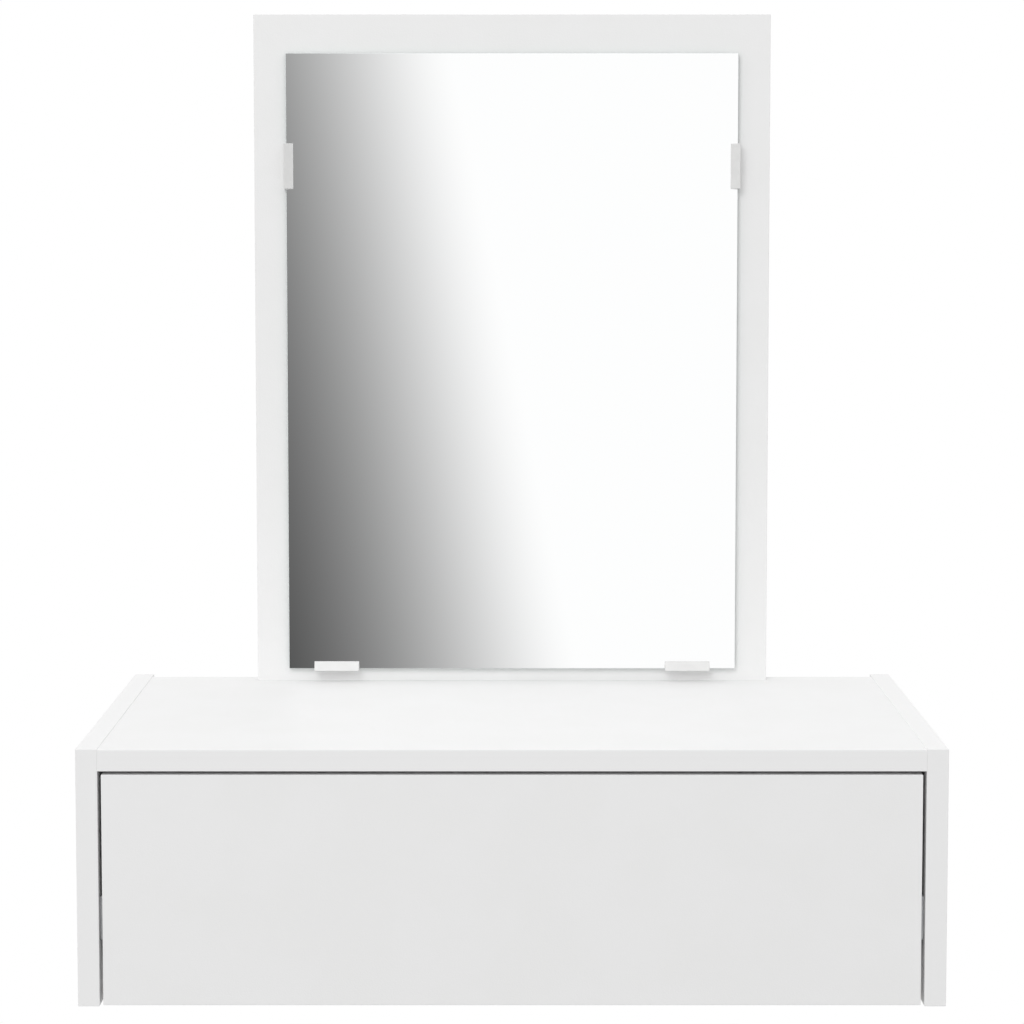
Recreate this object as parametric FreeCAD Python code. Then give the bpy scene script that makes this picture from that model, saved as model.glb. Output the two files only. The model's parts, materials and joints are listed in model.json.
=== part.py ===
import FreeCAD, Part
import math
import os
from FreeCAD import Placement, Rotation, Vector

# Wall-hung dressing table: a carcass open below, one drawer on ball slides and a mirror on a standing board.
# All lengths are in millimetres. X runs to the right, Y towards the wall and Z up.
# The origin is level with the lower ends of the side panels, in the middle of the plan.

# Carcass boards
CARCASS_WIDTH = 600.0
CARCASS_DEPTH = 300.0
CARCASS_HEIGHT = 180.0
BOARD = 15.0
EDGE_ROUND = 0.4  # rounding of a banded edge
TOP_STEP = 0.5  # the top panel lies this far below the side panels' upper ends
TOP_REAR_GAP = 10.0  # from the wall to the top panel's rear edge
BACK_HEIGHT = 150.0

# Holes for the wall screws, through the back panel
WALL_HOLE_RADIUS = 3.25
WALL_HOLE_SPREAD = 450.0
WALL_HOLE_RISE = 80.0

# Mirror board and mirror
MIRROR_BOARD_WIDTH = 400.0
MIRROR_BOARD_HEIGHT = 520.0
MIRROR_SIDE_MARGIN = 25.0
MIRROR_TOP_MARGIN = 30.0
MIRROR_FOOT_MARGIN = 10.0
GLASS_THICK = 3.0
GLASS_ARRIS = 0.3

# Mirror clips, hooked round the edge of the glass
CLIP_LENGTH = 35.0
CLIP_FLANGE = 1.5  # strip between the glass and the board
CLIP_TAIL = 14.0  # reach of that strip behind the glass
CLIP_WALL = 1.5
CLIP_LIP = 5.8  # reach of the lip over the glass
CLIP_LIP_ROOT = 4.2
CLIP_LIP_EDGE = 0.6
CLIP_ROUND = 0.5
CLIP_PLAY = 0.2  # between the glass and the lip
SIDE_CLIP_PLAY = 0.3  # between the glass and a side clip's wall
BOTTOM_CLIP_INSET = 37.5  # from the mirror's side edge to the middle of a bottom clip
SIDE_CLIP_DROP = 87.0  # from the mirror's upper edge to the middle of a side clip
CLIP_SCREW_INSET = 9.0
CLIP_SCREW_SPREAD = 20.0

# Drawer
FRONT_GAP = 2.5  # beside and above the drawer front
FRONT_LIFT = 0.8  # drawer front above the side panels' lower ends
DRAWER_BOARD = 12.0
DRAWER_LIFT = 22.0
DRAWER_SIDE_HEIGHT = 110.0
DRAWER_REAR_GAP = 17.0
BOTTOM_SHEET = 3.0
GROOVE_DEPTH = 6.0
GROOVE_LIFT = 10.0
GROOVE_PLAY = 0.2

# Ball slides
SLIDE_HEIGHT = 35.0
SLIDE_THICK = 12.7
SLIDE_SHEET = 1.2
SLIDE_BEND = 1.6
SLIDE_LIFT = 59.5  # middle line of the slides
SLIDE_FRONT_GAP = 3.0
SLIDE_OVERLAP = 65.0  # length still held when the drawer is fully out
TONGUE_HEIGHT = 33.0  # flat end of the outer member, beside the drawer front
TONGUE_SETBACK = 8.0
TONGUE_ROUND = 3.0
BALL_RADIUS = 3.0
BALLS_PER_ROW = 4
RACE_PLAY = 0.15
LIP_ANGLE = 12.0  # the outer race stops this far short of the balls' equator
CAGE_SHEET = 0.7
CAGE_GAP = 0.3
CAGE_FLANGE = 7.3
CAGE_BEND = 1.0
POCKET_PLAY = 0.1
STOP_HALF = 4.0
STOP_REACH = 5.0
STOP_PLAY = 0.8
SLIDE_SCREW_INSET = 30.0
SLOT_WIDTH = 4.5  # oblong holes for setting the members
OUTER_SLOT_LENGTH = 12.0
INNER_SLOT_LENGTH = 10.0

# Dowels, cam bolts and cam discs
FIT = 0.05
END_PLAY = 0.5
OVERCUT = 1.0  # a cutter reaches this far past the face that it opens
DOWEL_RADIUS = 4.0
DRAWER_DOWEL_RADIUS = 3.0
DOWEL_LENGTH = 30.0
DOWEL_SET = 10.0
DOWEL_CHAMFER = 1.0
BOLT_RADIUS = 2.5
BOLT_SET = 11.0
BOLT_REACH = 24.0
BOLT_BORE = 4.0
BOLT_COLLAR_RADIUS = 3.5
BOLT_COLLAR = 3.0
BOLT_NECK_RADIUS = 1.75
BOLT_HEAD_RADIUS = 2.75
BOLT_HEAD = 3.0
CAM_RADIUS = 7.5
CAM_SKIN = 2.0  # board left behind a cam pocket
CAM_RECESS = 0.3
CAM_PLAY = 0.25
CAM_CROSS_WIDTH = 1.6
CAM_CROSS_LENGTH = 8.0
CAM_CROSS_DEPTH = 1.5
TOP_BOLT_INSET = 50.0
TOP_DOWEL_INSET = 95.0
BACK_DOWEL_RISE = 45.0
MIRROR_BOLT_SPREAD = 200.0
MIRROR_DOWEL_SPREAD = 320.0
DRAWER_BOLT_RISE = 80.0
DRAWER_DOWEL_RISES = (60.0, 98.0)

# Screws and brace plates
SCREW_RADIUS = 1.75
SCREW_HEAD_RADIUS = 3.4
SCREW_HEAD = 2.0
SCREW_CROWN_RADIUS = 2.0  # flat crown of a pan head
SCREW_RIM = 0.8  # straight rim of a pan head
SCREW_SKIN = 2.0  # board left in front of a screw's tip
SCREW_CLEARANCE = 0.4
BACK_SCREW_LENGTH = 35.0
BACK_SCREW_RISES = (62.0, 95.0)
PLATE_WIDTH = 30.0
PLATE_HEIGHT = 118.0
PLATE_THICK = 2.0
PLATE_ROUND = 3.0
PLATE_SPREAD = 120.0
PLATE_LIFT = 2.0  # above the top panel's underside
PLATE_SCREW_RISES = (5.5, 40.0, 75.0, 110.0)

# Places worked out from the sizes above
FRONT = -CARCASS_DEPTH / 2
WALL = CARCASS_DEPTH / 2
OPENING = CARCASS_WIDTH / 2 - BOARD
TOP_FACE = CARCASS_HEIGHT - TOP_STEP
TOP_UNDER = TOP_FACE - BOARD
TOP_MID = TOP_FACE - BOARD / 2
TOP_REAR = WALL - TOP_REAR_GAP
BACK_FACE = WALL - BOARD
BACK_MID = TOP_UNDER - BACK_HEIGHT / 2
MIRROR_FACE = TOP_REAR - BOARD
GLASS_HALF = MIRROR_BOARD_WIDTH / 2 - MIRROR_SIDE_MARGIN
GLASS_FOOT = TOP_FACE + MIRROR_FOOT_MARGIN
GLASS_TOP = TOP_FACE + MIRROR_BOARD_HEIGHT - MIRROR_TOP_MARGIN
FRONT_REAR = FRONT + BOARD
DRAWER_HALF = OPENING - SLIDE_THICK
DRAWER_INNER = DRAWER_HALF - DRAWER_BOARD
DRAWER_TOP = DRAWER_LIFT + DRAWER_SIDE_HEIGHT
SLIDE_FRONT = FRONT_REAR + SLIDE_FRONT_GAP
SLIDE_REAR = BACK_FACE - DRAWER_REAR_GAP
SLIDE_MID = (SLIDE_FRONT + SLIDE_REAR) / 2
CAGE_LENGTH = SLIDE_OVERLAP - 2 * (SLIDE_SHEET + STOP_PLAY)
BOARD_BITE = BOARD - SCREW_SKIN
DRAWER_BITE = DRAWER_BOARD - SCREW_SKIN

# Section of a slide: u runs from the side panel towards the drawer, w up from the middle line
RACE = BALL_RADIUS + RACE_PLAY
RACE_MID = RACE + SLIDE_SHEET / 2
RACE_OUTER = RACE + SLIDE_SHEET
BALL_U = SLIDE_SHEET + RACE
BALL_W = SLIDE_HEIGHT / 2 - RACE_OUTER
CAGE_U = SLIDE_SHEET + CAGE_GAP
HOOK_U = CAGE_U + CAGE_SHEET + CAGE_GAP
HOOK_ANGLE = math.degrees(math.asin((BALL_U - HOOK_U) / RACE_OUTER))

SIDES = (-1, 1)
RIGHT = Vector(1, 0, 0)
REARWARD = Vector(0, 1, 0)
UP = Vector(0, 0, 1)


def frame_at(at, z_axis, x_axis=None):
    """Placement of a shape built on the origin: its +Z, and its +X if given, turn to these axes."""
    if x_axis is None:
        return Placement(at, Rotation(UP, z_axis))
    return Placement(at, Rotation(x_axis, z_axis.cross(x_axis), z_axis, "ZXY"))


def place(shape, at, z_axis, x_axis=None):
    copy = shape.copy()
    copy.Placement = frame_at(at, z_axis, x_axis)
    return copy


def mirrored(shape):
    return shape.mirror(Vector(0, 0, 0), RIGHT)


def block(low, high):
    size = Vector(*high) - Vector(*low)
    return Part.makeBox(size.x, size.y, size.z, Vector(*low))


def is_along(edge, axis):
    return abs(edge.tangentAt(edge.FirstParameter).dot(axis)) > 0.99


def banded_board(low, high, axes=(RIGHT, REARWARD, UP), square_foot=False):
    """Board with its edges along the given axes rounded, as banded edges are.

    A square foot, which stands on another board, keeps its sharp edges.
    """
    board = block(low, high)
    edges = [edge for edge in board.Edges if any(is_along(edge, axis) for axis in axes)]
    if square_foot:
        edges = [edge for edge in edges if edge.CenterOfMass.z > low[2]]
    return board.makeFillet(EDGE_ROUND, edges)


def turned(profile):
    """Solid of revolution about Z from its (radius, height) corners."""
    corners = [Vector(radius, 0, height) for radius, height in profile]
    face = Part.Face(Part.makePolygon(corners + corners[:1]))
    return face.revolve(Vector(0, 0, 0), UP, 360)


def dowel(radius):
    """Dowel with its joint plane at height 0."""
    low = -DOWEL_SET
    high = DOWEL_LENGTH - DOWEL_SET
    neck = radius - DOWEL_CHAMFER
    return turned(
        [
            (0, low),
            (neck, low),
            (radius, low + DOWEL_CHAMFER),
            (radius, high - DOWEL_CHAMFER),
            (neck, high),
            (0, high),
        ]
    )


def dowel_hole(radius):
    length = DOWEL_LENGTH + 2 * END_PLAY
    return Part.makeCylinder(radius + FIT, length, Vector(0, 0, -DOWEL_SET - END_PLAY))


def cam_bolt():
    """Bolt with its joint plane at height 0, its thread below and its head on the cam's axis."""
    head_low = BOLT_REACH - BOLT_HEAD / 2
    head_high = BOLT_REACH + BOLT_HEAD / 2
    return turned(
        [
            (0, -BOLT_SET),
            (BOLT_RADIUS, -BOLT_SET),
            (BOLT_RADIUS, 0),
            (BOLT_COLLAR_RADIUS, 0),
            (BOLT_COLLAR_RADIUS, BOLT_COLLAR),
            (BOLT_NECK_RADIUS, BOLT_COLLAR),
            (BOLT_NECK_RADIUS, head_low),
            (BOLT_HEAD_RADIUS, head_low),
            (BOLT_HEAD_RADIUS, head_high),
            (0, head_high),
        ]
    )


def bolt_hole():
    low = -BOLT_SET - END_PLAY
    thread = BOLT_RADIUS + FIT
    return turned(
        [
            (0, low),
            (thread, low),
            (thread, 0),
            (BOLT_BORE, 0),
            (BOLT_BORE, BOLT_REACH),
            (0, BOLT_REACH),
        ]
    )


def cam_pocket(thick):
    low = CAM_SKIN - thick / 2
    return Part.makeCylinder(CAM_RADIUS + FIT, thick - CAM_SKIN + OVERCUT, Vector(0, 0, low))


def cam_disc(thick):
    """Cam for a board of this thickness: the bolt lies on +X, the driver cross is on top."""
    low = CAM_SKIN - thick / 2
    high = thick / 2 - CAM_RECESS
    disc = Part.makeCylinder(CAM_RADIUS, high - low, Vector(0, 0, low))
    seat = BOLT_HEAD / 2 + CAM_PLAY
    cavity = Part.makeCylinder(BOLT_HEAD_RADIUS + CAM_PLAY, 2 * seat, Vector(-seat, 0, 0), RIGHT)
    throat = Part.makeCylinder(BOLT_NECK_RADIUS + CAM_PLAY, CAM_RADIUS + OVERCUT, Vector(0, 0, 0), RIGHT)
    half_long = CAM_CROSS_LENGTH / 2
    half_wide = CAM_CROSS_WIDTH / 2
    floor = high - CAM_CROSS_DEPTH
    slot = block((-half_long, -half_wide, floor), (half_long, half_wide, high + OVERCUT))
    cross = slot.copy()
    cross.rotate(Vector(0, 0, 0), UP, 90)
    return disc.cut([cavity, throat, slot, cross])


def sunk_screw(length):
    """Countersunk screw, head face at height 0, driven along +Z."""
    return turned(
        [
            (0, 0),
            (SCREW_HEAD_RADIUS, 0),
            (SCREW_RADIUS, SCREW_HEAD),
            (SCREW_RADIUS, length - SCREW_RADIUS),
            (0, length),
        ]
    )


def sunk_hole(length):
    head = SCREW_HEAD_RADIUS + FIT
    shank = SCREW_RADIUS + FIT
    depth = length + END_PLAY
    return turned(
        [
            (0, -OVERCUT),
            (head, -OVERCUT),
            (head, 0),
            (shank, SCREW_HEAD),
            (shank, depth),
            (0, depth),
        ]
    )


def pan_screw(length):
    """Pan-head screw, the underside of its head at height 0, driven along +Z."""
    return turned(
        [
            (0, -SCREW_HEAD),
            (SCREW_CROWN_RADIUS, -SCREW_HEAD),
            (SCREW_HEAD_RADIUS, -SCREW_RIM),
            (SCREW_HEAD_RADIUS, 0),
            (SCREW_RADIUS, 0),
            (SCREW_RADIUS, length - SCREW_RADIUS),
            (0, length),
        ]
    )


def pan_hole(length):
    return Part.makeCylinder(SCREW_RADIUS + FIT, length + END_PLAY)


def placed(shape, places):
    return [place(shape, at, way) for at, way in places]


class CamJoint:
    """Board end fixed by cam bolts and dowels to another board's face.

    A bolt place is the point on the joint plane, the way into the cam's board and the way the cam faces.
    """

    def __init__(self, thick, dowel_radius, bolt_places, dowel_places):
        self.thick = thick
        self.dowel_radius = dowel_radius
        self.bolt_places = bolt_places
        self.dowel_places = dowel_places

    def dowels(self):
        return placed(dowel(self.dowel_radius), self.dowel_places)

    def bolts(self):
        return [place(cam_bolt(), at, way) for at, way, face in self.bolt_places]

    def discs(self):
        disc = cam_disc(self.thick)
        return [place(disc, at + way * BOLT_REACH, face, way * -1) for at, way, face in self.bolt_places]

    def holes(self):
        """What is drilled out of both boards."""
        pocket = cam_pocket(self.thick)
        holes = placed(dowel_hole(self.dowel_radius), self.dowel_places)
        for at, way, face in self.bolt_places:
            holes.append(place(bolt_hole(), at, way))
            holes.append(place(pocket, at + way * BOLT_REACH, face))
        return holes


def top_joint():
    bolt_rows = (FRONT + TOP_BOLT_INSET, TOP_REAR - TOP_BOLT_INSET)
    dowel_rows = (FRONT + TOP_DOWEL_INSET, TOP_REAR - TOP_DOWEL_INSET)
    bolts = [(Vector(s * OPENING, y, TOP_MID), RIGHT * -s, UP * -1) for s in SIDES for y in bolt_rows]
    dowels = [(Vector(s * OPENING, y, TOP_MID), RIGHT * -s) for s in SIDES for y in dowel_rows]
    return CamJoint(BOARD, DOWEL_RADIUS, bolts, dowels)


def back_joint():
    depth = WALL - BOARD / 2
    rows = (BACK_MID - BACK_DOWEL_RISE, BACK_MID + BACK_DOWEL_RISE)
    bolts = [(Vector(s * OPENING, depth, BACK_MID), RIGHT * -s, REARWARD * -1) for s in SIDES]
    dowels = [(Vector(s * OPENING, depth, z), RIGHT * -s) for s in SIDES for z in rows]
    return CamJoint(BOARD, DOWEL_RADIUS, bolts, dowels)


def mirror_joint():
    depth = MIRROR_FACE + BOARD / 2
    bolts = [(Vector(s * MIRROR_BOLT_SPREAD / 2, depth, TOP_FACE), UP, REARWARD) for s in SIDES]
    dowels = [(Vector(s * MIRROR_DOWEL_SPREAD / 2, depth, TOP_FACE), UP) for s in SIDES]
    return CamJoint(BOARD, DOWEL_RADIUS, bolts, dowels)


def drawer_joint():
    across = DRAWER_HALF - DRAWER_BOARD / 2
    height = DRAWER_LIFT + DRAWER_BOLT_RISE
    rows = [DRAWER_LIFT + rise for rise in DRAWER_DOWEL_RISES]
    bolts = [(Vector(s * across, FRONT_REAR, height), REARWARD, RIGHT * s) for s in SIDES]
    dowels = [(Vector(s * across, FRONT_REAR, z), REARWARD) for s in SIDES for z in rows]
    return CamJoint(DRAWER_BOARD, DRAWER_DOWEL_RADIUS, bolts, dowels)


def slide_screw_rows():
    return (SLIDE_FRONT + SLIDE_SCREW_INSET, SLIDE_MID, SLIDE_REAR - SLIDE_SCREW_INSET)


def outer_screw_places():
    """Flush in the outer members, driven into the side panels."""
    across = OPENING - SLIDE_SHEET
    return [(Vector(s * across, y, SLIDE_LIFT), RIGHT * s) for s in SIDES for y in slide_screw_rows()]


def inner_screw_places():
    """On the inner members, driven into the drawer sides."""
    across = DRAWER_HALF + SLIDE_SHEET
    return [(Vector(s * across, y, SLIDE_LIFT), RIGHT * -s) for s in SIDES for y in slide_screw_rows()]


def back_screw_places():
    """Through the drawer sides into the ends of the drawer back."""
    depth = SLIDE_REAR - DRAWER_BOARD / 2
    rows = [DRAWER_LIFT + rise for rise in BACK_SCREW_RISES]
    return [(Vector(s * DRAWER_HALF, depth, z), RIGHT * -s) for s in SIDES for z in rows]


def plate_screw_places():
    foot = TOP_UNDER + PLATE_LIFT
    depth = TOP_REAR + PLATE_THICK
    return [
        (Vector(s * PLATE_SPREAD / 2, depth, foot + rise), REARWARD * -1)
        for s in SIDES
        for rise in PLATE_SCREW_RISES
    ]


def clip_frames():
    """Each clip's placement: +X over the glass from its edge, +Z from the board to the front."""
    bottom = GLASS_HALF - BOTTOM_CLIP_INSET
    side = GLASS_HALF + SIDE_CLIP_PLAY
    height = GLASS_TOP - SIDE_CLIP_DROP
    forward = REARWARD * -1
    return {
        "mirror_clip_bottom_left": frame_at(Vector(-bottom, MIRROR_FACE, GLASS_FOOT), forward, UP),
        "mirror_clip_bottom_right": frame_at(Vector(bottom, MIRROR_FACE, GLASS_FOOT), forward, UP),
        "mirror_clip_side_left": frame_at(Vector(-side, MIRROR_FACE, height), forward, RIGHT),
        "mirror_clip_side_right": frame_at(Vector(side, MIRROR_FACE, height), forward, RIGHT * -1),
    }


def clip_screw_places():
    half = CLIP_SCREW_SPREAD / 2
    seats = [Vector(CLIP_SCREW_INSET, along, CLIP_FLANGE) for along in (-half, half)]
    return [(frame.multVec(seat), REARWARD) for frame in clip_frames().values() for seat in seats]


def left_side_panel(joints):
    low = (-CARCASS_WIDTH / 2, FRONT, 0)
    panel = banded_board(low, (-OPENING, WALL, CARCASS_HEIGHT))
    holes = placed(sunk_hole(SLIDE_SHEET + BOARD_BITE), outer_screw_places())
    for joint in joints:
        holes += joint.holes()
    return panel.cut(holes)


def top_panel(joints):
    panel = banded_board((-OPENING, FRONT, TOP_UNDER), (OPENING, TOP_REAR, TOP_FACE), (RIGHT,))
    holes = placed(pan_hole(PLATE_THICK + BOARD_BITE), plate_screw_places())
    for joint in joints:
        holes += joint.holes()
    return panel.cut(holes)


def back_panel(joint):
    low = (-OPENING, BACK_FACE, TOP_UNDER - BACK_HEIGHT)
    panel = banded_board(low, (OPENING, WALL, TOP_UNDER), (RIGHT,))
    holes = joint.holes()
    for s in SIDES:
        for rise in (-WALL_HOLE_RISE / 2, WALL_HOLE_RISE / 2):
            at = Vector(s * WALL_HOLE_SPREAD / 2, BACK_FACE, BACK_MID + rise)
            holes.append(Part.makeCylinder(WALL_HOLE_RADIUS, BOARD, at, REARWARD))
    return panel.cut(holes)


def mirror_board(joint):
    half = MIRROR_BOARD_WIDTH / 2
    low = (-half, MIRROR_FACE, TOP_FACE)
    high = (half, TOP_REAR, TOP_FACE + MIRROR_BOARD_HEIGHT)
    board = banded_board(low, high, square_foot=True)
    holes = joint.holes()
    holes += placed(sunk_hole(CLIP_FLANGE + BOARD_BITE), clip_screw_places())
    holes += placed(pan_hole(PLATE_THICK + BOARD_BITE), plate_screw_places())
    return board.cut(holes)


def mirror_glass():
    rear = MIRROR_FACE - CLIP_FLANGE
    glass = block((-GLASS_HALF, rear - GLASS_THICK, GLASS_FOOT), (GLASS_HALF, rear, GLASS_TOP))
    return glass.makeChamfer(GLASS_ARRIS, glass.Edges)


def mirror_clip():
    """Hooked strip: a flange behind the glass, a wall past its edge and a lip that thins over its face."""
    seat = CLIP_FLANGE + GLASS_THICK + CLIP_PLAY
    section = [
        (-CLIP_WALL, 0),
        (CLIP_TAIL, 0),
        (CLIP_TAIL, CLIP_FLANGE),
        (0, CLIP_FLANGE),
        (0, seat),
        (CLIP_LIP, seat),
        (CLIP_LIP, seat + CLIP_LIP_EDGE),
        (-CLIP_WALL, seat + CLIP_LIP_ROOT),
    ]
    corners = [Vector(a, -CLIP_LENGTH / 2, b) for a, b in section]
    strip = Part.Face(Part.makePolygon(corners + corners[:1])).extrude(REARWARD * CLIP_LENGTH)
    middles = [(edge, edge.CenterOfMass) for edge in strip.Edges]
    front = seat + CLIP_LIP_EDGE / 2
    thick_end = CLIP_LIP - CLIP_ROUND
    outer_edges = [edge for edge, middle in middles if middle.z > front and middle.x < thick_end]
    strip = strip.makeFillet(CLIP_ROUND, outer_edges)
    half = CLIP_SCREW_SPREAD / 2
    seats = [(Vector(CLIP_SCREW_INSET, along, CLIP_FLANGE), UP * -1) for along in (-half, half)]
    return strip.cut(placed(sunk_hole(CLIP_FLANGE + BOARD_BITE), seats))


def brace_plate():
    """Left of two flat plates behind the joint of mirror board and top panel."""
    middle = -PLATE_SPREAD / 2
    foot = TOP_UNDER + PLATE_LIFT
    low = (middle - PLATE_WIDTH / 2, TOP_REAR, foot)
    plate = block(low, (middle + PLATE_WIDTH / 2, TOP_REAR + PLATE_THICK, foot + PLATE_HEIGHT))
    plate = plate.makeFillet(PLATE_ROUND, [edge for edge in plate.Edges if is_along(edge, REARWARD)])
    hole = Part.makeCylinder(SCREW_RADIUS + SCREW_CLEARANCE, PLATE_THICK)
    return plate.cut(placed(hole, plate_screw_places()))


def drawer_groove():
    """Space cut for the drawer bottom out of the four boards round it."""
    low = DRAWER_LIFT + GROOVE_LIFT
    half = DRAWER_INNER + GROOVE_DEPTH
    rear = SLIDE_REAR - DRAWER_BOARD + GROOVE_DEPTH
    return block((-half, FRONT_REAR - GROOVE_DEPTH, low), (half, rear, low + BOTTOM_SHEET + GROOVE_PLAY))


def drawer_front(joint):
    half = OPENING - FRONT_GAP
    board = banded_board((-half, FRONT, FRONT_LIFT), (half, FRONT_REAR, TOP_UNDER - FRONT_GAP))
    return board.cut(joint.holes() + [drawer_groove()])


def left_drawer_side(joint):
    low = (-DRAWER_HALF, FRONT_REAR, DRAWER_LIFT)
    board = banded_board(low, (-DRAWER_INNER, SLIDE_REAR, DRAWER_TOP), (REARWARD,))
    holes = joint.holes() + [drawer_groove()]
    holes += placed(pan_hole(SLIDE_SHEET + DRAWER_BITE), inner_screw_places())
    holes += placed(sunk_hole(BACK_SCREW_LENGTH), back_screw_places())
    return board.cut(holes)


def drawer_back():
    low = (-DRAWER_INNER, SLIDE_REAR - DRAWER_BOARD, DRAWER_LIFT)
    board = banded_board(low, (DRAWER_INNER, SLIDE_REAR, DRAWER_TOP), (RIGHT,))
    return board.cut(placed(sunk_hole(BACK_SCREW_LENGTH), back_screw_places()) + [drawer_groove()])


def drawer_bottom():
    low = DRAWER_LIFT + GROOVE_LIFT
    half = DRAWER_INNER + GROOVE_DEPTH - GROOVE_PLAY
    front = FRONT_REAR - GROOVE_DEPTH + GROOVE_PLAY
    rear = SLIDE_REAR - DRAWER_BOARD + GROOVE_DEPTH - GROOVE_PLAY
    return block((-half, front, low), (half, rear, low + BOTTOM_SHEET))


def left_slide_point(u, y, w):
    return Vector(u - OPENING, y, SLIDE_LIFT + w)


def slide_block(u_span, y_span, w_half):
    low = left_slide_point(u_span[0], y_span[0], -w_half)
    return block(low, left_slide_point(u_span[1], y_span[1], w_half))


def bent_strip(start, heading, steps, y_span, sheet=SLIDE_SHEET):
    """Piece of a left slide, of bent sheet, walked along the middle line of its section.

    A step is (length, 0) for a flat or (middle radius, degrees) for a bend; positive degrees turn left.
    """
    half = sheet / 2
    spot = Vector(start[0], start[1], 0)
    walls = {-half: [], half: []}
    for size, turn in steps:
        stations = []
        for share in (0, 0.5, 1):
            angle = math.radians(heading + share * turn)
            left = Vector(-math.sin(angle), math.cos(angle), 0)
            if turn:
                first = math.radians(heading)
                hub = Vector(-math.sin(first), math.cos(first), 0) * math.copysign(size, turn)
                point = spot + hub - left * math.copysign(size, turn)
            else:
                point = spot + Vector(math.cos(angle), math.sin(angle), 0) * (share * size)
            stations.append((point, left))
        for offset, edges in walls.items():
            points = [point + left * offset for point, left in stations]
            points = [left_slide_point(p.x, y_span[0], p.y) for p in points]
            edges.append(Part.Arc(*points).toShape() if turn else Part.makeLine(points[0], points[2]))
        spot = stations[2][0]
        heading += turn
    right, left = walls[-half], walls[half]
    caps = [
        Part.makeLine(left[0].firstVertex().Point, right[0].firstVertex().Point),
        Part.makeLine(left[-1].lastVertex().Point, right[-1].lastVertex().Point),
    ]
    outline = Part.Wire(Part.sortEdges(left + right + caps)[0])
    return Part.Face(outline).extrude(REARWARD * (y_span[1] - y_span[0]))


def ring_point(w, angle):
    """Point of a race's middle line, at an angle round the ball centre on this height."""
    turn = math.radians(angle)
    return BALL_U + RACE_MID * math.cos(turn), w + RACE_MID * math.sin(turn)


def slide_slots(u, length, turn):
    """Oblong cutters through the sheet at this depth, halfway between the screws of a left slide."""
    straight = length - SLOT_WIDTH
    ends = (-straight / 2, straight / 2)
    slot = Part.makeBox(SLIDE_SHEET, straight, SLOT_WIDTH, Vector(0, ends[0], -SLOT_WIDTH / 2))
    slot = slot.fuse([Part.makeCylinder(SLOT_WIDTH / 2, SLIDE_SHEET, Vector(0, y, 0), RIGHT) for y in ends])
    rows = slide_screw_rows()
    middles = [(first + second) / 2 for first, second in zip(rows, rows[1:])]
    return [slot.rotated(Vector(0, 0, 0), RIGHT, turn).translated(left_slide_point(u, y, 0)) for y in middles]


def left_slide_outer():
    """Member on the side panel: curled races, a flat tongue in front and a stop tab at each end."""
    rear = SLIDE_REAR + STOP_PLAY + SLIDE_SHEET
    curl = (RACE_MID, LIP_ANGLE - 180)
    steps = [curl, (2 * BALL_W, 0), curl]
    member = bent_strip(ring_point(-BALL_W, -LIP_ANGLE), -LIP_ANGLE - 90, steps, (SLIDE_FRONT, rear))
    tongue_front = FRONT + TONGUE_SETBACK
    tongue = slide_block((0, SLIDE_SHEET), (tongue_front, SLIDE_FRONT), TONGUE_HEIGHT / 2)
    corners = [edge for edge in tongue.Edges if is_along(edge, RIGHT) and edge.CenterOfMass.y < SLIDE_FRONT]
    tongue = tongue.makeFillet(TONGUE_ROUND, corners)
    front_stop = slide_block((0, STOP_REACH), (SLIDE_FRONT, SLIDE_FRONT + SLIDE_SHEET), STOP_HALF)
    rear_stop = slide_block((0, STOP_REACH), (rear - SLIDE_SHEET, rear), STOP_HALF)
    member = member.fuse([tongue, front_stop, rear_stop]).removeSplitter()
    holes = placed(sunk_hole(SLIDE_SHEET + BOARD_BITE), outer_screw_places())
    return member.cut(holes + slide_slots(0, OUTER_SLOT_LENGTH, 0))


def left_slide_inner():
    """Member on the drawer side: grooved for the balls, with a stop tab at its rear end."""
    hook = math.radians(HOOK_ANGLE)
    level = RACE_MID * math.cos(hook) - SLIDE_BEND * (1 - math.cos(hook)) - BALL_W
    flange_start = BALL_U + (RACE_MID + SLIDE_BEND) * math.sin(hook)
    flange = SLIDE_THICK - SLIDE_SHEET / 2 - SLIDE_BEND - flange_start
    web = -2 * (level + SLIDE_BEND)
    half = [(RACE_MID, -2 * HOOK_ANGLE), (SLIDE_BEND, HOOK_ANGLE), (flange, 0), (SLIDE_BEND, 90)]
    steps = half + [(web, 0)] + half[::-1]
    member = bent_strip(ring_point(-BALL_W, 90 + HOOK_ANGLE), HOOK_ANGLE, steps, (SLIDE_FRONT, SLIDE_REAR))
    stop = slide_block((CAGE_U, SLIDE_THICK), (SLIDE_REAR - SLIDE_SHEET, SLIDE_REAR), STOP_HALF)
    member = member.fuse(stop).removeSplitter()
    hole = Part.makeCylinder(SCREW_RADIUS + SCREW_CLEARANCE, SLIDE_SHEET)
    slots = slide_slots(SLIDE_THICK - SLIDE_SHEET, INNER_SLOT_LENGTH, 90)
    return member.cut(placed(hole, inner_screw_places()) + slots)


def ball_centres():
    pitch = CAGE_LENGTH / BALLS_PER_ROW
    first = SLIDE_MID - CAGE_LENGTH / 2 + pitch / 2
    rows = [first + n * pitch for n in range(BALLS_PER_ROW)]
    return [left_slide_point(BALL_U, y, w) for w in (-BALL_W, BALL_W) for y in rows]


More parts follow.
